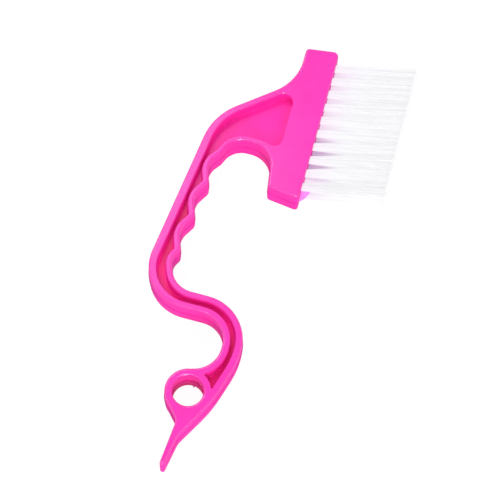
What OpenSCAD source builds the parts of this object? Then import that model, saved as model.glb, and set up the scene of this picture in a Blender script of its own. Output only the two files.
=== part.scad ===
// Scraper-tailed cleaning brush: one moulded handle that ends in a hang ring and a thin scraper,
// and a straight head set with two rows of filament tufts. Each tuft is folded over a flat wire
// anchor that is driven into the bottom of its blind hole.
// The origin is the axis of the hang ring on the resting face. +X points the way the tufts do,
// +Y runs along the grip towards the head, and +Z is the thickness of the moulding.

/* [Handle] */
// Thickness of the moulding, from one face to the other
handle_t = 15; // [13:0.5:20]
// Thickness of the web between the recesses of the two faces
web_t = 2.5; // [1.5:0.1:5]
// Width of the rim along the back of the grip
back_rim_w = 3.9; // [3.4:0.1:4.1]
// Width of the rims along the neck and the finger ridges
rim_w = 3.1; // [2.6:0.1:3.4]
// Width of the rims of the sideways bend
bend_rim_w = 3; // [2.4:0.1:3.2]
// Width of the rims of the limb between bend and hang ring
limb_rim_w = 3.4; // [2.8:0.1:3.5]
// Width of the rim under each finger ridge
under_ridge_w = 2.5; // [2.2:0.1:3.2]
// Width of the rim over the finger arch
arch_rim_w = 2.4; // [2:0.1:3.4]

/* [Head] */
// Length of the bristle face
head_l = 81.3; // [78:0.5:100]
// Depth of the head, from the bristle face to its back
head_w = 16; // [14:0.5:20]
// Slope of the two ends of the head, in degrees
head_taper = 7.5; // [0:0.5:10]
// Distance of the bristle face from the axis of the hang ring
face_x = 24; // [22:0.5:30]
// How far the head reaches below the top of the finger arch
head_drop = 22.7; // [18:0.5:30]

/* [Grip] */
// Height of the finger arch above the sideways bend
grip_l = 80.8; // [80:0.1:100]
// Distance from one finger ridge to the next
finger_pitch = 18.4; // [17:0.1:18.6]
// Depth of the finger hollows below the ridges
finger_depth = 3; // [2.4:0.1:3.3]
// Radius of the finger ridges
ridge_r = 3.3; // [3:0.1:4]
// Lean of the grip's back from +Y, in degrees
back_lean = 6.3; // [5:0.1:7]
// Radius of the shoulder between grip and neck
shoulder_r = 30; // [20:1:36]
// Slope of the neck, in degrees
neck_slope = 39.8; // [36:0.2:44]
// Radius of the neck where it runs into the head
neck_r = 25; // [12:1:26]

/* [Bend] */
// Height of the sideways bend's lower edge above the axis of the hang ring
bend_y = 37.3; // [37:0.1:46]
// Width of the sideways bend, rims and recess together
bend_w = 8.6; // [8:0.1:10]
// Width of the limb between the bend and the hang ring
limb_w = 8.9; // [8.2:0.1:10]
// Radius inside the bend's bay, over the hang ring
bay_r = 12.6; // [8:0.1:12.8]
// Outer radius of the heel, where grip and bend meet
heel_r = 21; // [14:0.5:22]

/* [Hang ring and scraper] */
// Diameter of the hang hole
hole_d = 14; // [10:0.2:16]
// Wall of the ring round the hang hole
ring_wall = 3.5; // [2.8:0.1:3.8]
// Length of the scraper, from the axis of the hang hole to its edge
scraper_l = 35.4; // [30:0.5:50]
// Thickness of the scraper's edge
edge_w = 1.9; // [1:0.1:2.6]

/* [Tufts] */
// Diameter of the tuft holes
tuft_hole_d = 4; // [3:0.1:5]
// Depth of the tuft holes
tuft_hole_depth = 9; // [6:0.5:10]
// Distance from one tuft to the next along a row
tuft_pitch = 7.3; // [6.4:0.1:7.4]
// Distance between the two rows of tufts
row_gap = 8; // [7:0.1:8.4]
// Free length of the filaments
tuft_l = 38.5; // [15:0.5:60]
// Lean of the tufts towards +Y, in degrees
tuft_lean = 11; // [0:1:12]
// Length of a tuft that is still round, before its filaments spread
tuft_waist = 2; // [1:0.5:4]

/* [Anchors] */
// Thickness of the anchor wire
anchor_t = 0.4; // [0.3:0.05:0.6]
// Width of the anchor wire, along the hole
anchor_w = 1.6; // [1.2:0.1:2]
// How far each end of an anchor bites into the wall of its hole
anchor_bite = 0.15; // [0.05:0.05:0.3]

/* [Fits] */
// Radial clearance of a packed tuft in its hole
tuft_fit = 0.05; // [0.02:0.01:0.1]
// Gap between the spread tips of neighbouring tufts
tip_gap = 0.3; // [0.2:0.1:0.6]
// Clearance between an anchor and the filaments folded over it
fold_fit = 0.05; // [0.02:0.01:0.1]

/* [Hidden] */
rows = ["upper", "lower"];
tufts_in_row = 10;
function number(i) = i < 9 ? str("0", i + 1) : str(i + 1);

$fn = 64;
arc_step = 6;      // degrees of arc for each flat of a rounded corner
short_flat = 0.25; // a small corner takes fewer flats, so that none is shorter than this
cut = 0.5;         // how far a cutting solid runs past the face it opens
skin = 0.1;        // thickness of the slices that a tuft is spread between
overlap = 0.1;     // how far the edges that run up to the hang ring pass inside its outer circle

handle_colour = [0.99, 0.30, 0.75];
filament_colour = [0.97, 0.97, 0.98];
wire_colour = [0.72, 0.70, 0.66];

recess_depth = (handle_t - web_t) / 2;
hole_r = hole_d / 2;
ring_r = hole_r + ring_wall;

// Points and lines in the plane of the moulding

function xy(p) = [p[0], p[1]];
function unit(v) = v / norm(v);
function heading(angle) = [cos(angle), sin(angle)];

// Where the line through p along heading a meets the line through q along heading b
function meet(p, a, q, b) =
    let (u = heading(a), v = heading(b))
    p + u * cross(q - p, v) / cross(u, v);

// Corner i of a closed list, counted round past either end
function corner(list, i) = list[(i + len(list)) % len(list)];

// The arc that rounds corner i of a list of [x, y, radius, rim]
function rounded_corner(list, i) =
    let (
        p = xy(corner(list, i)),
        back = unit(xy(corner(list, i - 1)) - p),
        on = unit(xy(corner(list, i + 1)) - p),
        r = corner(list, i)[2],
        half = acos(back * on) / 2,
        centre = p + unit(back + on) * r / sin(half),
        side = sign(cross(-back, on)),
        turn = 180 - 2 * half,
        steps = max(2, ceil(min(turn / arc_step, turn * r * PI / 180 / short_flat))),
        first = atan2(-side * -back[0], side * -back[1])
    )
    r == 0 ? [p] :
    [for (k = [0 : steps]) centre + r * heading(first + side * turn * k / steps)];

function rounded(list) = [for (i = [0 : len(list) - 1]) each rounded_corner(list, i)];

// Corner i moved inwards by the rim of the edge before it and the rim of the edge after it
function inner_corner(list, i) =
    let (
        p = xy(corner(list, i)),
        into = unit(p - xy(corner(list, i - 1))),
        out = unit(xy(corner(list, i + 1)) - p),
        rim_before = corner(list, i - 1)[3],
        rim_after = corner(list, i)[3],
        bend = cross(into, out),
        rim = (rim_before + rim_after) / 2,
        q = p + (out * rim_before - into * rim_after) / bend
    )
    [q[0], q[1], max(0, corner(list, i)[2] - sign(bend) * rim), 0];

// The outline, walked with the solid on the left: each corner is its place, its radius and the
// width of the rim along the edge that leaves it

bend_top = bend_y + bend_w;
arch_y = bend_top + grip_l;
back_x = face_x - head_w;
head_low = arch_y - head_drop;
head_high = head_low + head_l;
end_rise = head_w * tan(head_taper);

// Head: the bristle face from its lower to its upper corner, then the back corner
low_corner_r = 1.6;
high_corner_r = 2.6;
back_corner_r = 1.8;
head = [
    [face_x, head_low, low_corner_r, 0],
    [face_x, head_high, high_corner_r, 0],
    [back_x, head_high - end_rise, back_corner_r, 0]
];

// Back: the neck, the shoulder and the heel
heel_x = -36.9;
neck_rise = 37.4;  // from the top of the arch to the corner where the neck meets the head
heel = [heel_x, bend_y];
neck = [back_x, arch_y + neck_rise];
shoulder = meet(neck, neck_slope, heel, 90 - back_lean);
back = [
    [neck[0], neck[1], neck_r, rim_w],
    [shoulder[0], shoulder[1], shoulder_r, back_rim_w],
    [heel[0], heel[1], heel_r, bend_rim_w]
];

// Bay between the bend and the hang ring: its floor meets the ring at ring_angle
bay_x = 8.95;
ring_angle = 16.7;
ring_touch = (ring_r - overlap) * heading(90 + ring_angle);
bay_floor = meet([bay_x, 0], 90, ring_touch, ring_angle);
bay = [
    [bay_x, bend_y, bay_r, limb_rim_w],
    [bay_floor[0], bay_floor[1], bay_r, ring_wall]
];

// Tail: the flank of the ring, then the scraper
edge_x = -2.1;     // middle of the scraper's edge
edge_round = 0.45; // rounding of the edge's two corners, as a share of its thickness
flank_angle = -48; // heading of the ring's flank
scraper_lean = 85.2;
ring_root_r = 7;   // where the ring's flank runs into the scraper
limb_root_r = 8;   // where the scraper runs into the limb
flank_touch = (ring_r - overlap) * heading(180 - flank_angle);
left_edge = [edge_x - edge_w / 2, -scraper_l];
right_edge = [edge_x + edge_w / 2, -scraper_l];
ring_root = meet(flank_touch, flank_angle, left_edge, scraper_lean);
limb_root = [1.3, -21];
tail = [
    [ring_touch[0], ring_touch[1], 0, 0],
    [flank_touch[0], flank_touch[1], 0, 0],
    [ring_root[0], ring_root[1], ring_root_r, 0],
    [left_edge[0], left_edge[1], edge_round * edge_w, 0],
    [right_edge[0], right_edge[1], edge_round * edge_w, 0],
    [limb_root[0], limb_root[1], limb_root_r, limb_rim_w]
];

// Limb: the outer side from the scraper up, over the bend and back to the grip
limb_x = bay_x + limb_w;
low_knee = [limb_x - 6.1, -2.2];
knee = [limb_x, 18.6];
bend_corner = [-19.7, bend_top];
low_knee_r = 60;
knee_r = 40;
bend_corner_r = 11.8;
limb = [
    [low_knee[0], low_knee[1], low_knee_r, limb_rim_w],
    [knee[0], knee[1], knee_r, limb_rim_w],
    [limb_x, bend_top, bay_r + bend_w, bend_rim_w],
    [bend_corner[0], bend_corner[1], bend_corner_r, rim_w]
];

// Fingers: ridges and hollows along a line that leans finger_lean from +Y. The lowest hollow
// runs into the bend.
finger_lean = 5.2;
flank = 25;
along = heading(90 - finger_lean);
inwards = heading(180 - finger_lean);
first_ridge = [-22.15, bend_top + 18.8];
low_hollow_r = 7;
grip_rise = 110;   // heading of the grip where it rises from the bend
swing = finger_pitch / 2 * tan(flank);
rounding = 1 / cos(flank) - 1;
hollow_r = (swing - finger_depth) / rounding - ridge_r;
ridge_out = ridge_r * rounding;
function ridge(k) = first_ridge + k * finger_pitch * along - ridge_out * inwards;
function hollow(k) = ridge(k + 0.5) + swing * inwards;
ridges = 3;
low_hollow = meet(bend_corner, grip_rise, ridge(0), 90 - finger_lean - flank);
fingers = concat(
    [[low_hollow[0], low_hollow[1], low_hollow_r, under_ridge_w]],
    [for (k = [0 : ridges - 1]) each [
        [ridge(k)[0], ridge(k)[1], ridge_r, rim_w],
        [hollow(k)[0], hollow(k)[1], hollow_r, under_ridge_w]
    ]]
);

// Arch: over the first finger, down the inside of the head
arch_side = 68;    // heading of the arch's side towards the grip
arch_start = [-17, arch_y - 9.1];
arch_left = meet(arch_start, arch_side, [0, arch_y], 0);
arch_right = [back_x - 2.3, arch_y];
arch_w = arch_right[0] - arch_left[0];
arch_start_r = 3;
arch_left_r = 0.525 * arch_w;
arch_right_r = 0.63 * arch_w;
foot_in = 0.7;     // how far the head's inner side stands forward of its back, at its low end
arch = [
    [arch_start[0], arch_start[1], arch_start_r, under_ridge_w],
    [arch_left[0], arch_left[1], arch_left_r, arch_rim_w],
    [arch_right[0], arch_right[1], arch_right_r, rim_w],
    [back_x + foot_in, head_low + end_rise, low_corner_r, 0]
];

outline = concat(head, back, bay, tail, limb, fingers, arch);

// The recess: the outline's own corners moved inwards, closed by a wall along the head and by
// the hang ring
back_at = len(head);
bay_at = back_at + len(back);
limb_at = bay_at + len(bay) + len(tail);
fingers_at = limb_at + len(limb);
arch_at = fingers_at + len(fingers);
recess_x = back_x + 0.8;     // the recess reaches a little way into the head
recess_low = arch_y + 0.3;   // lowest corner of the recess along the head
recess_end = 4;              // lowest edge of the recess, beside the hang hole
recess_low_r = 3.6;
recess_high_r = 4.2;
crest_x = -1;                // middle of the rim over the arch
crest_r = 14;

neck_inner = inner_corner(outline, back_at + 1);
recess_top = meet(xy(neck_inner), neck_slope, [recess_x, 0], 90);
limb_inner = inner_corner(outline, limb_at + 1);
limb_side = limb[1] - limb[0];
limb_lean = atan2(limb_side[1], limb_side[0]);
recess_tail = meet(xy(limb_inner), limb_lean, [0, recess_end], 0);
under_bay = (ring_r - overlap - ring_wall) * heading(90 + ring_angle);
recess = concat(
    [[recess_x, recess_low, recess_low_r], [recess_x, recess_top[1], recess_high_r]],
    [for (i = [back_at + 1 : bay_at + 1]) inner_corner(outline, i)],
    [[under_bay[0], under_bay[1], 0], [0, recess_end, 0], [recess_tail[0], recess_tail[1], 0]],
    [for (i = [limb_at + 1 : arch_at + 1]) inner_corner(outline, i)],
    [[crest_x, arch_y + arch_rim_w, crest_r]]
);

// Tufts: how far along its length a tuft has spread, and by what share of the way to its tip's size
spread_at = 0.45;
spread_share = 0.65;
middle_round = 0.42; // corners of the spread tuft, as shares of its width
tip_round = 0.31;
tuft_sides = 24;

// A tuft's place: the middle of its hole's mouth on the bristle face
function tuft_y(i) = (head_low + head_high) / 2 + (i - (tufts_in_row - 1) / 2) * tuft_pitch;
function row_z(row) = handle_t / 2 + (row == 0 ? 1 : -1) * row_gap / 2;

module at_mouth(row, i) {
    translate([face_x, tuft_y(i), row_z(row)]) rotate([0, 0, tuft_lean]) rotate([0, 90, 0]) children();
}

module tuft_hole(row, i) {
    at_mouth(row, i) translate([0, 0, -tuft_hole_depth])
        cylinder(r = tuft_hole_d / 2, h = tuft_hole_depth + 2 * cut);
}

module recess_shape() {
    difference() {
        polygon(rounded(recess));
        circle(r = ring_r);
    }
}

module handle() {
    color(handle_colour) difference() {
        linear_extrude(handle_t) union() {
            polygon(rounded(outline));
            circle(r = ring_r);
        }
        translate([0, 0, -cut]) linear_extrude(recess_depth + cut) recess_shape();
        translate([0, 0, handle_t - recess_depth]) linear_extrude(recess_depth + cut) recess_shape();
        translate([0, 0, -cut]) cylinder(r = hole_r, h = handle_t + 2 * cut);
        for (row = [0, 1], i = [0 : tufts_in_row - 1]) tuft_hole(row, i);
    }
}

// One slice of a tuft's spread filaments, at a distance out from the bristle face
module spread(row, i, out, size, r) {
    translate([face_x + out, tuft_y(i) + out * tan(tuft_lean), row_z(row)])
        rotate([0, 90, 0]) linear_extrude(skin) translate(-size / 2) rounded_box(size, r);
}

module rounded_box(size, r) {
    polygon(rounded([[0, 0, r], [size[0], 0, r], [size[0], size[1], r], [0, size[1], r]]));
}

module tuft(row, i) {
    root_r = tuft_hole_d / 2 - tuft_fit;
    root_l = tuft_hole_depth - tuft_fit;
    tip = [min(row_gap, handle_t - row_gap), tuft_pitch] - [tip_gap, tip_gap];
    middle = root_r * (1 - spread_share) * [2, 2] + tip * spread_share;
    color(filament_colour) {
        difference() {
            at_mouth(row, i) translate([0, 0, -root_l]) cylinder(r = root_r, h = root_l + tuft_waist);
            at_mouth(row, i) translate([0, 0, -root_l + anchor_w])
                cube([2 * tuft_hole_d, anchor_t + 2 * fold_fit, anchor_w + 2 * fold_fit], center = true);
        }
        hull() {
            at_mouth(row, i) translate([0, 0, tuft_waist - skin])
                cylinder(r = root_r, h = skin, $fn = tuft_sides);
            spread(row, i, tuft_l * spread_at, middle, middle_round * middle[0]);
            spread(row, i, tuft_l - skin, tip, tip_round * tip[0]);
        }
    }
}

module anchor(row, i) {
    color(wire_colour) at_mouth(row, i)
        translate([0, 0, -tuft_hole_depth + tuft_fit + anchor_w])
            cube([tuft_hole_d + 2 * anchor_bite, anchor_t, anchor_w], center = true);
}

handle();
for (row = [0, 1], i = [0 : tufts_in_row - 1]) {
    tuft(row, i);
    anchor(row, i);
}
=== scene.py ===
"""Scraper-tailed cleaning brush: a moulded handle set with two rows of filament tufts, on a pale floor."""

import math
import random

import bpy
from mathutils import Matrix, Vector


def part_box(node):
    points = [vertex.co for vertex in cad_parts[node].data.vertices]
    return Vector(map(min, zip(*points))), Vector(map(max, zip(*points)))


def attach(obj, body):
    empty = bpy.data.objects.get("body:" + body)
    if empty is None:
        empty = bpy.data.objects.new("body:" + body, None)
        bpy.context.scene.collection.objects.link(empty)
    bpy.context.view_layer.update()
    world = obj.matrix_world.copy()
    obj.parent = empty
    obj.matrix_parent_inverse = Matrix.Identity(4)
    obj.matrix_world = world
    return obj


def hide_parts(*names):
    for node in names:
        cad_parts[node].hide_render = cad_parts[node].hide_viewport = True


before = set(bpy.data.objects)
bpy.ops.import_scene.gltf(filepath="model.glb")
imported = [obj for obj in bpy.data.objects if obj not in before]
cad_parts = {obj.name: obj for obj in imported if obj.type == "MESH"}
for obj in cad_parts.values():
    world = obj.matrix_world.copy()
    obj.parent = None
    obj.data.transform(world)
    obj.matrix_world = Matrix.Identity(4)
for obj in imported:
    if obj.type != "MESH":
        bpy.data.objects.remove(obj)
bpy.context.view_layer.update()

# Driving sizes of the part, in metres
MM = 0.001
HANDLE_LOW, HANDLE_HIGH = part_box("handle")
HANDLE_T = HANDLE_HIGH.z - HANDLE_LOW.z
FACE_X = HANDLE_HIGH.x
WEB_T = 2.5 * MM
FLOOR_HIGH = (HANDLE_T + WEB_T) / 2
FLOOR_LOW = (HANDLE_T - WEB_T) / 2
MID_Z = HANDLE_T / 2
TUFT_LEAN = math.radians(11)
TUFT_L = 38.5 * MM
ROOT_R = 1.95 * MM
HOLE_DEPTH = 9 * MM
ANCHOR_W = 1.6 * MM
ANCHOR_T = 0.4 * MM
HEAD_LOW = 104 * MM
SHADE_Y = HEAD_LOW + 27 * MM    # middle of the three gaps whose root shade is drawn darkest
RECESS_X = 8.8 * MM             # the recess's wall along the head
HOLE_R = 7 * MM
ROWS = ("upper", "lower")
TUFTS_IN_ROW = 10


# ---------------------------------------------------------------- selection and modelling helpers

def mode(name):
    bpy.ops.object.mode_set(mode=name)


def only(piece):
    """Deselects everything, then selects one piece and makes it active."""
    if bpy.context.object and bpy.context.object.mode != "OBJECT":
        mode("OBJECT")
    bpy.ops.object.select_all(action="DESELECT")
    piece.select_set(True)
    bpy.context.view_layer.objects.active = piece


def apply_modifier(piece, kind, **settings):
    """Adds a modifier with the given settings and applies it."""
    only(piece)
    modifier = piece.modifiers.new(kind.title(), kind)
    for name, value in settings.items():
        setattr(modifier, name, value)
    bpy.ops.object.modifier_apply(modifier=modifier.name)


def shaded(piece, angle):
    """Shades a piece smooth, apart from edges sharper than an angle in degrees."""
    only(piece)
    bpy.ops.object.shade_smooth_by_angle(angle=math.radians(angle))


def smooth(t):
    """A smooth rise from 0 to 1, held at both ends."""
    t = min(1, max(0, t))
    return t * t * (3 - 2 * t)


def finish_piece(piece, name, material, nodes=()):
    """Names a piece, dresses it and lets it ride on the one body."""
    piece.name = piece.data.name = name
    piece.data.materials.clear()
    piece.data.materials.append(material)
    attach(piece, "root")
    if nodes:
        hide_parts(*nodes)


# ---------------------------------------------------------------- shader helper

class Number:
    """A number that varies over a surface: Python's operators add the Math nodes."""

    def __init__(self, finish, socket):
        self.finish, self.socket = finish, socket

    def _with(self, operation, *others):
        return self.finish.number("ShaderNodeMath", {"operation": operation}, self, *others)

    def __add__(self, other):
        return self._with("ADD", other)

    def __sub__(self, other):
        return self._with("SUBTRACT", other)

    def __rsub__(self, other):
        return self.finish.number("ShaderNodeMath", {"operation": "SUBTRACT"}, other, self)

    def __mul__(self, other):
        return self._with("MULTIPLY", other)

    __radd__, __rmul__ = __add__, __mul__

    def distance(self, other):
        """How far this number is from another, never negative."""
        return (self - other)._with("ABSOLUTE")

    def step(self, low, high):
        """0 below low and 1 above high, with a smooth rise between them."""
        return self.finish.number("ShaderNodeMapRange", {"interpolation_type": "SMOOTHSTEP"},
                                  self, low, high, 0.0, 1.0)


class Finish:
    """One material, its Principled shader, and the nodes that feed it."""

    def __init__(self, name, **constants):
        self.material = bpy.data.materials.new(name)
        self.material.use_nodes = True
        self.tree = self.material.node_tree
        self.shader = self.tree.nodes["Principled BSDF"]
        for socket, value in constants.items():
            self.shader.inputs[socket.replace("_", " ")].default_value = value
        self.place = self.node("ShaderNodeTexCoord").outputs["Object"]

    def join(self, socket, value):
        """Links a value that varies to a socket, or sets the socket to a fixed one."""
        value = value.socket if isinstance(value, Number) else value
        if isinstance(value, bpy.types.NodeSocket):
            self.tree.links.new(value, socket)
        else:
            socket.default_value = (*value, 1) if socket.type == "RGBA" else value

    def node(self, kind, settings=None, *sockets, **named):
        """Adds a node. settings are its options, and the rest its inputs, by place or by name."""
        made = self.tree.nodes.new(kind)
        for name, value in (settings or {}).items():
            setattr(made, name, value)
        for key, value in [*enumerate(sockets), *((n.replace("_", " "), v) for n, v in named.items())]:
            self.join(made.inputs[key], value)
        return made

    def number(self, kind, settings, *sockets):
        return Number(self, self.node(kind, settings, *sockets).outputs[0])

    def axis(self, name):
        """The piece's own X, Y or Z, in metres."""
        return Number(self, self.node("ShaderNodeSeparateXYZ", None, self.place).outputs[name])

    def upright(self):
        """How far a face looks up or down, from 0 on a wall to 1 on a flat."""
        normal = self.node("ShaderNodeNewGeometry").outputs["Normal"]
        return Number(self, self.node("ShaderNodeSeparateXYZ", None, normal).outputs["Z"]).distance(0.0)

    def noise(self, scale, detail, roughness, stretch=None):
        place = self.place
        if stretch:
            place = self.node("ShaderNodeMapping", None, place, Scale=stretch).outputs[0]
        made = self.node("ShaderNodeTexNoise", None, Vector=place, Scale=scale, Detail=detail, Roughness=roughness)
        return Number(self, made.outputs[0])

    def mix(self, amount, low, high):
        """A colour between two colours."""
        made = self.node("ShaderNodeMix", {"data_type": "RGBA"})
        for at, value in ((0, amount), (6, low), (7, high)):
            self.join(made.inputs[at], value)
        return made.outputs[2]

    def feed(self, name, value):
        self.join(self.shader.inputs[name], value)

    def bump(self, height, distance):
        made = self.node("ShaderNodeBump", None, Strength=1.0, Distance=distance, Height=height)
        self.feed("Normal", made.outputs[0])


# ---------------------------------------------------------------- finishes

PINK = (0.95, 0.042, 0.49)
PINK_DEEP = (0.94, 0.026, 0.41)
PINK_PALE = (0.97, 0.080, 0.56)
# darker pink for the painted shade on the groove's floor
PINK_PAINTED_SHADE = (0.86, 0.010, 0.24)
BLACK = (0.0, 0.0, 0.0)


def moulded_pink():
    """Glossy moulded polypropylene: faint flow marks, orange peel and fine scuffs.
    The coat is strong on rounded edges and weak on walls, and the groove's floor is painted darker, as painted
    shade."""
    f = Finish("moulded_pink", IOR=1.49, Specular_IOR_Level=0.0, Coat_IOR=1.8, Coat_Roughness=0.2)
    clouds = f.noise(60, 3, 0.55)
    flow = f.noise(26, 4, 0.6, (1.0, 0.22, 1.0))
    peel = f.noise(700, 2, 0.5)
    grain = f.noise(2600, 1, 0.5)
    scuff_a = f.noise(300, 2, 0.6, (6.0, 0.25, 1.0)).step(0.62, 0.70)
    scuff_b = f.noise(260, 2, 0.6, (0.3, 5.0, 1.0)).step(0.63, 0.71)
    scuffs = scuff_a + scuff_b
    upright = f.upright()
    flat = upright.step(0.95, 0.995)
    height = f.axis("Z").distance(MID_Z)
    edge = (upright.step(0.15, 0.4) - flat) * height.step(MID_Z - 3.2 * MM, MID_Z - 2.2 * MM)
    face = height.step(MID_Z - 1.2 * MM, MID_Z - 0.8 * MM) * flat
    tone = clouds.step(0.30, 0.72) * 0.45 + flow.step(0.35, 0.7) * 0.35
    colour = f.mix(tone, PINK_DEEP, PINK)
    colour = f.mix(scuffs * 0.10, colour, PINK_PALE)
    # painted shade: the groove's floor, away from the head, is painted darker as if in shade
    groove = (flat - height.step(1.5 * MM, 2.5 * MM)) * (1 - f.axis("Y").step(HEAD_LOW - 18 * MM, HEAD_LOW))
    colour = f.mix(groove * 0.85, colour, PINK_PAINTED_SHADE)
    f.feed("Base Color", colour)
    f.feed("Coat Weight", 0.14 + face * 0.18 + edge * 0.8 - scuffs * 0.04)
    f.feed("Roughness", 0.18 + clouds * 0.10 + scuffs * 0.12)
    f.bump(peel * 0.5 + grain * 0.12 + clouds * 0.8 - scuffs * 0.12, 0.04 * MM)
    return f.material


def filament_painted_light():
    """White nylon filament, with a lilac tint near its root that is painted pink light from the moulding.
    It glows with painted light, which stands for the light that nylon passes on. The painted glow is weaker
    in the upper row, at the last tuft and at the tips, and weakest at the lower row's roots, where a painted shade
    is darkest round SHADE_Y."""
    # painted glow: the filaments emit light, though they are no lamp
    f = Finish("filament_painted_light", IOR=1.53, Specular_IOR_Level=0.12, Emission_Strength=0.49)
    x, y, z = (f.axis(name) for name in "XYZ")
    out = x.step(FACE_X - MM, FACE_X + 16 * MM)
    streak = f.noise(900, 2, 0.5, (0.05, 1.0, 1.0))
    bands = streak.step(0.3, 0.7)
    # painted pink light: the lilac near the root stands for light passed on from the pink moulding
    root = f.mix(bands, (0.47, 0.43, 0.48), (0.50, 0.46, 0.51))
    tip = f.mix(bands, (0.46, 0.46, 0.47), (0.50, 0.50, 0.51))
    f.feed("Base Color", f.mix(out, root, tip))
    # painted shade at the lower row's roots, darkest round SHADE_Y
    lower_roots_painted_shade = (1 - z.step(MID_Z - 3 * MM, MID_Z + MM)) * (1 - x.step(FACE_X + 3 * MM, FACE_X + 18 * MM))
    shade = lower_roots_painted_shade * (1 - y.distance(SHADE_Y).step(8.5 * MM, 13 * MM) * 0.8)
    # painted light: the glow is made weaker in the upper row, at the last tuft and at the tips
    high = z.step(MID_Z, MID_Z + 6 * MM)
    last = 1 - y.step(HEAD_LOW + 8 * MM, HEAD_LOW + 16 * MM)
    end = x.step(FACE_X + 35 * MM, FACE_X + 38 * MM)
    glow_painted_dimming = high * 0.12 + last * 0.08 + end * 0.05
    # the glow is painted lilac near the root as well, as painted pink light from the moulding
    glow = f.mix(glow_painted_dimming, f.mix(out, (1.0, 0.95, 1.0), (0.98, 0.98, 1.0)), BLACK)
    # dark lilac of the painted shade, mixed into the glow at the lower row's roots
    f.feed("Emission Color", f.mix(shade, glow, (0.46, 0.28, 0.50)))
    f.feed("Roughness", 0.34 + streak * 0.16)
    f.bump(f.noise(5000, 1, 0.5, (0.2, 1.0, 1.0)), 0.01 * MM)
    return f.material


def drawn_wire():
    """Bright flat wire with fine draw lines."""
    f = Finish("drawn_wire", Metallic=1.0, IOR=2.5)
    lines = f.noise(4200, 2, 0.6, (1.0, 1.0, 0.04))
    f.feed("Base Color", f.mix(lines.step(0.3, 0.7), (0.46, 0.42, 0.34), (0.66, 0.62, 0.54)))
    f.feed("Roughness", 0.22 + lines * 0.2)
    f.bump(lines, 0.01 * MM)
    return f.material


def flash_painted_glow():
    """Thin flash. It glows with painted light, which stands for the light it lets through."""
    # painted glow: the flash emits its own colour, though it is no lamp
    f = Finish("flash_painted_glow", IOR=1.49, Specular_IOR_Level=0.2, Emission_Strength=0.16)
    patch = f.noise(900, 2, 0.5)
    thin = f.mix(patch.step(0.3, 0.7), (0.86, 0.24, 0.84), (0.92, 0.36, 0.90))
    f.feed("Base Color", thin)
    f.feed("Emission Color", thin)
    f.feed("Roughness", 0.3 + patch * 0.2)
    f.bump(patch, 0.03 * MM)
    return f.material


pink = moulded_pink()
nylon = filament_painted_light()
wire = drawn_wire()
flash = flash_painted_glow()


# ---------------------------------------------------------------- handle

EDGE_R = 1.1 * MM          # rounding of the moulding's outer edges
LIP_R = 0.5 * MM           # rounding of the recess's lips
FILLET_R = 0.42 * MM       # fillet of the groove's floor
HEAD_FILLET_R = 2.1 * MM   # fillet of the floor where the recess runs into the head
TIP_R = 2.0 * MM           # rounding of the scraper's edge towards both faces
SCRAPER_Y = -12 * MM       # where the scraper starts to thin out
LEDGE = 0.28 * MM          # how far the lower mould half stands out at the parting line
ROUND_STEPS = 5
THIN_OUT = 10 * MM         # length over which the scraper's rounding gets smaller
NEAR = 0.004 * MM          # positions closer than this count as one


def select_flat(mesh, height, facing):
    """Selects the faces that lie at one height and look straight up or down."""
    mode("OBJECT")
    for group in (mesh.vertices, mesh.edges, mesh.polygons):
        group.foreach_set("select", [False] * len(group))
    for poly in mesh.polygons:
        poly.select = poly.normal.z * facing > 0.999 and abs(poly.center.z - height) < NEAR
    mode("EDIT")


def rim_of_selection(mesh):
    """The vertices on the border of the selected faces."""
    mode("OBJECT")
    uses = {}
    for poly in mesh.polygons:
        if poly.select:
            for key in poly.edge_keys:
                uses[key] = uses.get(key, 0) + 1
    mode("EDIT")
    return {v for key, count in uses.items() if count == 1 for v in key}


def refill():
    """Replaces the selected flat with a clean one that spans its border and leaves its holes open."""
    bpy.ops.mesh.delete(type="FACE")
    bpy.ops.mesh.select_all(action="DESELECT")
    bpy.ops.mesh.select_non_manifold(extend=False, use_wire=False, use_multi_face=False,
                                     use_non_contiguous=False, use_verts=False)
    bpy.ops.mesh.fill(use_beauty=True)
    bpy.ops.mesh.dissolve_limited(angle_limit=math.radians(0.2))


def round_over(mesh, height, facing, radius, steps, share, hollow=False):
    """Rounds the border of a flat. An outer edge is rounded over, and the edge of a hollow's floor gets a fillet.
    share gives the rounding at a corner of the border, as a share of radius."""
    select_flat(mesh, height, facing)
    lift = facing * radius * (1 if hollow else -1)
    base = rim_of_selection(mesh)
    mode("OBJECT")
    corners = {v: mesh.vertices[v].co.copy() for v in base}
    foot = {v: height for v in base}
    for edge in mesh.edges:
        for v, w in (tuple(edge.vertices), tuple(edge.vertices)[::-1]):
            if v in base and abs(mesh.vertices[w].co.z - height) > abs(foot[v] - height):
                foot[v] = mesh.vertices[w].co.z
    mode("EDIT")
    bpy.ops.transform.translate(value=(0, 0, lift))
    home = {v: v for v in base}
    last = base
    for k in range(steps):
        a, b = (math.radians(90 * j / steps) for j in (k, k + 1))
        bpy.ops.mesh.inset(use_boundary=True, use_even_offset=True, thickness=radius * (math.cos(a) - math.cos(b)),
                           depth=radius * (math.sin(b) - math.sin(a)) * (-1 if hollow else 1))
        rim = rim_of_selection(mesh)
        mode("OBJECT")
        for edge in mesh.edges:
            v, w = edge.vertices
            for new, old in ((v, w), (w, v)):
                if new in rim and old in last and new not in home:
                    home[new] = home[old]
        mode("EDIT")
        last = rim
    mode("OBJECT")
    for v, corner in home.items():
        place = mesh.vertices[v]
        place.co = corners[corner].lerp(place.co, share(corners[corner], abs(foot[corner] - height)))
    mode("EDIT")
    refill()
    mode("OBJECT")


def edge_share(corner, wall):
    """The lips of the recess, whose walls are low, are sharper than the outer edges, and so is the thin scraper."""
    if wall < 0.8 * HANDLE_T:
        return LIP_R / EDGE_R
    return 1 - 0.45 * smooth((SCRAPER_Y - corner.y) / THIN_OUT)


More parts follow.
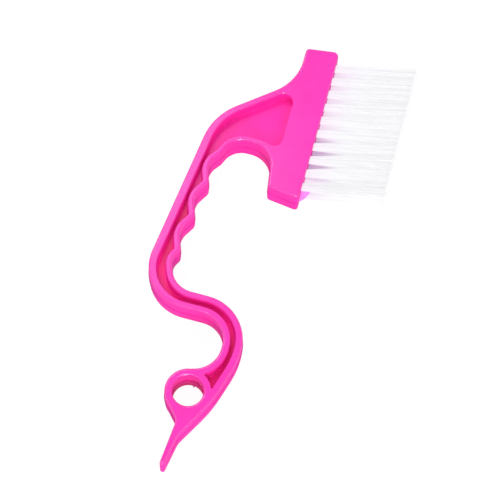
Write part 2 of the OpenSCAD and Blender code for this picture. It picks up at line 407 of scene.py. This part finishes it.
def fillet_share(corner, _wall):
    """The floor's fillet is wide along the head and narrow elsewhere."""
    if corner.y < HEAD_LOW + 20 * MM:
        return 1.0
    start, full = RECESS_X - 3.5 * MM, RECESS_X - 0.6 * MM
    return 1 + (HEAD_FILLET_R / FILLET_R - 1) * smooth((corner.x - start) / (full - start))


def round_scraper_edge(mesh):
    """Rounds the scraper's edge towards both faces: cuts across it, then draws the cuts together."""
    mode("EDIT")
    for share in (0.12, 0.3, 0.55, 0.8, 1.0):
        bpy.ops.mesh.select_all(action="SELECT")
        bpy.ops.mesh.bisect(plane_co=(0, HANDLE_LOW.y + share * TIP_R, 0), plane_no=(0, 1, 0), threshold=NEAR)
    mode("OBJECT")
    for v in mesh.vertices:
        past = (HANDLE_LOW.y + TIP_R - v.co.y) / TIP_R
        if past > 0:
            half = MID_Z - TIP_R * (1 - math.sqrt(max(0, 1 - min(1, past) ** 2)))
            v.co.z = MID_Z + (v.co.z - MID_Z) * half / MID_Z


def step_at_parting_line(mesh):
    """Cuts round the walls at mid height and pushes the lower half out there, down to nothing at the lower edge."""
    mode("EDIT")
    for height in (MID_Z + 0.1 * MM, MID_Z):
        bpy.ops.mesh.select_all(action="SELECT")
        bpy.ops.mesh.bisect(plane_co=(0, 0, height), plane_no=(0, 0, 1), threshold=NEAR)
    mode("OBJECT")
    outward = {}
    for poly in mesh.polygons:
        if abs(poly.normal.z) < 0.1:
            for v in poly.vertices:
                if abs(mesh.vertices[v].co.z - MID_Z) < NEAR:
                    outward[v] = outward.get(v, Vector()) + Vector((poly.normal.x, poly.normal.y, 0))
    for v, way in outward.items():
        place = mesh.vertices[v]
        if way.length > 0 and place.co.x < FACE_X - 0.5 * MM and place.co.y > HANDLE_LOW.y + 3 * MM:
            place.co += way.normalized() * LEDGE


def make_handle():
    """Rounds a copy of the CAD handle."""
    piece = bpy.data.objects.new("moulded_handle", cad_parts["handle"].data.copy())
    bpy.context.scene.collection.objects.link(piece)
    only(piece)
    mode("EDIT")
    bpy.ops.mesh.select_all(action="SELECT")
    bpy.ops.mesh.remove_doubles(threshold=0.002 * MM)
    bpy.ops.mesh.dissolve_limited(angle_limit=math.radians(0.4))
    mesh = piece.data
    for height, facing in ((HANDLE_T, 1), (0, -1)):
        round_over(mesh, height, facing, EDGE_R, ROUND_STEPS, edge_share)
    for height, facing in ((FLOOR_HIGH, 1), (FLOOR_LOW, -1)):
        round_over(mesh, height, facing, FILLET_R, ROUND_STEPS, fillet_share, hollow=True)
    round_scraper_edge(mesh)
    step_at_parting_line(mesh)
    only(piece)
    mode("EDIT")
    bpy.ops.mesh.select_all(action="SELECT")
    bpy.ops.mesh.normals_make_consistent(inside=False)
    mode("OBJECT")
    shaded(piece, 40)
    apply_modifier(piece, "WEIGHTED_NORMAL", keep_sharp=True, weight=60)
    finish_piece(piece, "moulded_handle", pink, ["handle"])


def make_flash(name, thickness, lower, upper, tip, bulge, height):
    """A thin fin left at the parting line: its root runs from lower to upper, and its low side swells."""
    bpy.ops.object.select_all(action="DESELECT")
    bpy.ops.mesh.primitive_plane_add(size=1, location=(0, 0, 0))
    piece = bpy.context.object
    mode("EDIT")
    bpy.ops.mesh.subdivide(number_cuts=5)
    mode("OBJECT")
    for v in piece.data.vertices:
        across, along = v.co.x + 0.5, v.co.y + 0.5
        low_side = lower.lerp(tip, across) + bulge * 4 * across * (1 - across)
        place = low_side.lerp(upper.lerp(tip, across), along)
        v.co = (place.x, place.y, height + 0.12 * MM * math.sin(5 * across + 2 * along))
    only(piece)
    bpy.ops.object.transform_apply(location=True, rotation=True, scale=True)
    apply_modifier(piece, "SOLIDIFY", thickness=thickness, offset=0.0)
    only(piece)
    mode("EDIT")
    bpy.ops.mesh.select_all(action="SELECT")
    bpy.ops.mesh.remove_doubles(threshold=NEAR)
    bpy.ops.mesh.normals_make_consistent(inside=False)
    mode("OBJECT")
    shaded(piece, 50)
    finish_piece(piece, name, flash)


make_handle()
head_x = FACE_X - 0.3 * MM
make_flash("corner_flash", 0.3 * MM, Vector((head_x, HEAD_LOW + 1.5 * MM)), Vector((head_x, HEAD_LOW + 7.2 * MM)),
           Vector((FACE_X + 4.2 * MM, HEAD_LOW + 8.5 * MM)), Vector((0.5, -0.9)) * MM, MID_Z)
bore_r = HOLE_R + 0.15 * MM
lower_root, upper_root = (Vector((bore_r * math.cos(angle), bore_r * math.sin(angle))) for angle in (1.42, 1.56))
make_flash("hang_hole_flash", 0.2 * MM, lower_root, upper_root, Vector((0.9, 6.35)) * MM, Vector((0.1, -0.1)) * MM,
           0.5 * MM)


# ---------------------------------------------------------------- tufts

AXIS = Vector((math.cos(TUFT_LEAN), math.sin(TUFT_LEAN), 0))
ACROSS = Vector((-math.sin(TUFT_LEAN), math.cos(TUFT_LEAN), 0))
UP = Vector((0, 0, 1))
ALONG = Vector((0, 1, 0))
FILAMENT_R = 0.13 * MM
FOLDS = 84             # folded filaments in a tuft: each gives two tips
ANCHOR_DEPTH = HOLE_DEPTH - 0.05 * MM - ANCHOR_W
LEG_GAP = ANCHOR_T / 2 + FILAMENT_R * 1.2      # from the middle of the anchor to the middle of a filament
OUTWARD = (0.0, 0.14, 0.3, 0.47, 0.65, 0.83, 1.0)     # where a filament's points lie along it
CLUMPS = 7             # bunches of tips in a tuft
SPREAD_ALONG = 2.6 * MM
SPREAD_UP = 1.7 * MM
GOLDEN_TURN = 137.5    # degrees
STRAYS = 0.025         # share of the tips that stand out


def mouth_of(row, number):
    """The middle of a tuft's hole, on the bristle face, worked out from its anchor."""
    low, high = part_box(f"{row}_anchor_{number:02d}")
    return (low + high) / 2 + AXIS * ANCHOR_DEPTH


def leg(mouth, p, q, reach, spread, sway):
    """A filament's points from the hole's mouth to its tip."""
    points = []
    for t in OUTWARD:
        side = ACROSS * p + UP * q
        point = mouth + side + AXIS * (reach * t)
        point += ALONG * spread[0] * t ** 0.85 + UP * spread[1] * t ** 1.2
        point += (ALONG * sway[0] + UP * sway[1]) * math.sin(math.pi * t)
        point.z = min(max(point.z, 0.15 * MM), HANDLE_T + 0.6 * MM)
        points.append(point)
    return points


def fold(mouth, p_a, p_b, q):
    """The turn of a folded filament under the anchor wire, from one leg to the other."""
    bottom = ANCHOR_DEPTH + ANCHOR_W / 2 + FILAMENT_R * 1.1 + 0.45 * MM * (abs(p_a) + abs(p_b)) / (2 * ROOT_R)
    ends, turn = bottom - 0.35 * MM, bottom - 0.04 * MM
    places = ((p_a, 0.62 * ANCHOR_DEPTH), (p_a, ends), (p_a * 0.55, turn),
              (p_b * 0.55, turn), (p_b, ends), (p_b, 0.62 * ANCHOR_DEPTH))
    return [mouth + ACROSS * p + UP * q - AXIS * depth for p, depth in places]


def loose_end(chance, mouth, number, p, q, clumps, lean_all):
    """One leg's points, with a spread, a sway and a trim of its own. The outermost tufts spread less outwards."""
    u, v = p / ROOT_R, q / ROOT_R
    near = min(clumps, key=lambda c: (c[0] - u) ** 2 + (c[1] - v) ** 2)
    spread = [SPREAD_ALONG * u + near[2] + lean_all[0] + chance.gauss(0, 0.28) * MM,
              SPREAD_UP * v + near[3] + lean_all[1] + chance.gauss(0, 0.28) * MM]
    if number == 1:
        spread[0] = max(spread[0], -0.9 * MM + chance.gauss(0, 0.2) * MM)
    if number == TUFTS_IN_ROW:
        spread[0] = min(spread[0], 0.6 * MM + chance.gauss(0, 0.2) * MM)
    sway = (chance.gauss(0, 0.16) * MM, chance.gauss(0, 0.16) * MM)
    trim = chance.gauss(0, 0.3) * MM - abs(chance.gauss(0, 0.35)) * MM
    if chance.random() < STRAYS:
        trim += chance.uniform(0.6, 2.6) * MM
        spread[0] += chance.gauss(0, 0.8) * MM
    return leg(mouth, p, q, (TUFT_L + trim) / math.cos(TUFT_LEAN), spread, sway)


def make_tuft(row, number):
    """Packs folded filaments into a tuft's hole, on both sides of its anchor, as one mesh."""
    mouth = mouth_of(row, number)
    chance = random.Random(1000 * ROWS.index(row) + number)
    name = f"{row}_tuft_{number:02d}"
    bpy.ops.object.select_all(action="DESELECT")
    bpy.ops.curve.primitive_nurbs_path_add(location=(0, 0, 0))
    piece = bpy.context.object
    curve = piece.data
    curve.splines.clear()
    curve.bevel_depth, curve.bevel_resolution, curve.use_fill_caps = FILAMENT_R, 0, True
    room = ROOT_R - FILAMENT_R
    lean_all = (chance.gauss(0, 0.35) * MM, chance.gauss(0, 0.25) * MM)
    clumps = [(chance.uniform(-1, 1), chance.uniform(-1, 1), chance.gauss(0, 0.5) * MM, chance.gauss(0, 0.4) * MM)
              for _ in range(CLUMPS)]
    for k in range(FOLDS):
        r = room * math.sqrt((k + 0.5) / FOLDS)
        turn = math.radians(GOLDEN_TURN * k) % math.pi - math.pi / 2
        p = max(LEG_GAP, r * math.cos(turn))
        q = r * math.sin(turn)
        if math.hypot(p, q) > room:
            q *= math.sqrt(max(0, room * room - p * p)) / max(abs(q), 1e-9)
        legs = []
        for sign in (1, -1):
            side = sign * p + chance.gauss(0, 0.04) * MM * sign
            side = math.copysign(max(abs(side), LEG_GAP), sign)
            legs.append((side, loose_end(chance, mouth, number, side, q, clumps, lean_all)))
        (p_a, out_a), (p_b, out_b) = legs
        points = out_a[::-1] + fold(mouth, p_a, p_b, q) + out_b
        spline = curve.splines.new("POLY")
        spline.points.add(len(points) - 1)
        for point, place in zip(spline.points, points):
            point.co = (*place, 1)
    only(piece)
    bpy.ops.object.convert(target="MESH")
    piece = bpy.context.object
    shaded(piece, 80)
    finish_piece(piece, f"filaments_{name}", nylon, [name])


for row in ROWS:
    for number in range(1, TUFTS_IN_ROW + 1):
        make_tuft(row, number)
        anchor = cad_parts[f"{row}_anchor_{number:02d}"]
        anchor.data.materials.clear()
        anchor.data.materials.append(wire)


# ---------------------------------------------------------------- floor, light and camera

FLOOR_SIZE = 6
FLOOR_GAP = 0.4 * MM       # the floor lies this far below the part
FLOOR_WHITE = 0.93         # share of plain white in what the camera sees of the floor
CAMERA_PLACE = Vector((0.0674, -0.2089, 0.6922))
CAMERA_TARGET = Vector((0.00776, 0.07883, 0.0))
CAMERA_ROLL = math.radians(3.6)
LEVEL_RIGHT = Vector((0.97921, 0.20287, 0))
LEVEL_UP = Vector((-0.18674, 0.90136, 0.39073))
LENS, SENSOR = 115.2, 36
LIT_POINT = (0.0, 0.09, 0.0)     # what the lamps are aimed at


def pale_floor():
    """A white floor: camera, mirror and glass rays see it pale, and it still takes the shadow."""
    material = bpy.data.materials.new("pale_floor")
    material.use_nodes = True
    tree = material.node_tree
    tree.nodes.clear()
    path = tree.nodes.new("ShaderNodeLightPath")
    seen = path.outputs["Is Camera Ray"]
    for name in ("Is Glossy Ray", "Is Transmission Ray"):
        either = tree.nodes.new("ShaderNodeMath")
        either.operation = "MAXIMUM"
        tree.links.new(seen, either.inputs[0])
        tree.links.new(path.outputs[name], either.inputs[1])
        seen = either.outputs[0]
    amount = tree.nodes.new("ShaderNodeMath")
    amount.operation, amount.inputs[1].default_value = "MULTIPLY", FLOOR_WHITE
    tree.links.new(seen, amount.inputs[0])
    matt = tree.nodes.new("ShaderNodeBsdfDiffuse")
    matt.inputs["Color"].default_value = (0.88, 0.88, 0.88, 1)
    white = tree.nodes.new("ShaderNodeEmission")
    white.inputs["Strength"].default_value = 1.03
    both = tree.nodes.new("ShaderNodeMixShader")
    out = tree.nodes.new("ShaderNodeOutputMaterial")
    tree.links.new(amount.outputs[0], both.inputs[0])
    tree.links.new(matt.outputs[0], both.inputs[1])
    tree.links.new(white.outputs[0], both.inputs[2])
    tree.links.new(both.outputs[0], out.inputs[0])
    return material


def make_floor():
    bpy.ops.object.select_all(action="DESELECT")
    bpy.ops.mesh.primitive_plane_add(size=FLOOR_SIZE, location=(0, 0, -FLOOR_GAP))
    floor = bpy.context.object
    floor.name = "floor"
    floor.data.materials.append(pale_floor())


def make_world():
    """Soft white surroundings that the camera sees as plain white."""
    world = bpy.data.worlds.new("studio")
    bpy.context.scene.world = world
    world.use_nodes = True
    tree = world.node_tree
    shade = tree.nodes["Background"]
    shade.inputs["Color"].default_value = (1, 1, 1, 1)
    shade.inputs["Strength"].default_value = 0.5
    path = tree.nodes.new("ShaderNodeLightPath")
    white = tree.nodes.new("ShaderNodeBackground")
    white.inputs["Strength"].default_value = 1.0
    both = tree.nodes.new("ShaderNodeMixShader")
    tree.links.new(path.outputs["Is Camera Ray"], both.inputs[0])
    tree.links.new(shade.outputs[0], both.inputs[1])
    tree.links.new(white.outputs[0], both.inputs[2])
    tree.links.new(both.outputs[0], tree.nodes["World Output"].inputs[0])


def softbox(name, place, size, power):
    """A rectangular lamp aimed at the part."""
    data = bpy.data.lights.new(name, "AREA")
    data.shape, data.size, data.size_y, data.energy = "RECTANGLE", size[0], size[1], power
    lamp = bpy.data.objects.new(name, data)
    bpy.context.scene.collection.objects.link(lamp)
    lamp.location = place
    lamp.rotation_euler = (Vector(LIT_POINT) - Vector(place)).to_track_quat("-Z", "Y").to_euler()


def make_camera():
    back = (CAMERA_PLACE - CAMERA_TARGET).normalized()
    right = LEVEL_RIGHT * math.cos(CAMERA_ROLL) + LEVEL_UP * math.sin(CAMERA_ROLL)
    right = (right - back * right.dot(back)).normalized()
    up = back.cross(right)
    data = bpy.data.cameras.new("view")
    data.lens, data.sensor_width, data.sensor_fit = LENS, SENSOR, "HORIZONTAL"
    data.clip_start, data.clip_end = 0.01, 20
    camera = bpy.data.objects.new("view", data)
    bpy.context.scene.collection.objects.link(camera)
    camera.matrix_world = Matrix((
        (right.x, up.x, back.x, CAMERA_PLACE.x),
        (right.y, up.y, back.y, CAMERA_PLACE.y),
        (right.z, up.z, back.z, CAMERA_PLACE.z),
        (0, 0, 0, 1),
    ))
    bpy.context.scene.camera = camera


make_floor()
make_world()
softbox("key", (-0.35, 0.45, 0.75), (0.5, 0.5), 3.2)
softbox("strip", (0.114, -0.31, 0.855), (0.8, 0.07), 2.1)
softbox("front", (0.35, -0.65, 0.42), (0.3, 0.3), 3.4)
make_camera()
bpy.context.scene.view_settings.view_transform = "Standard"
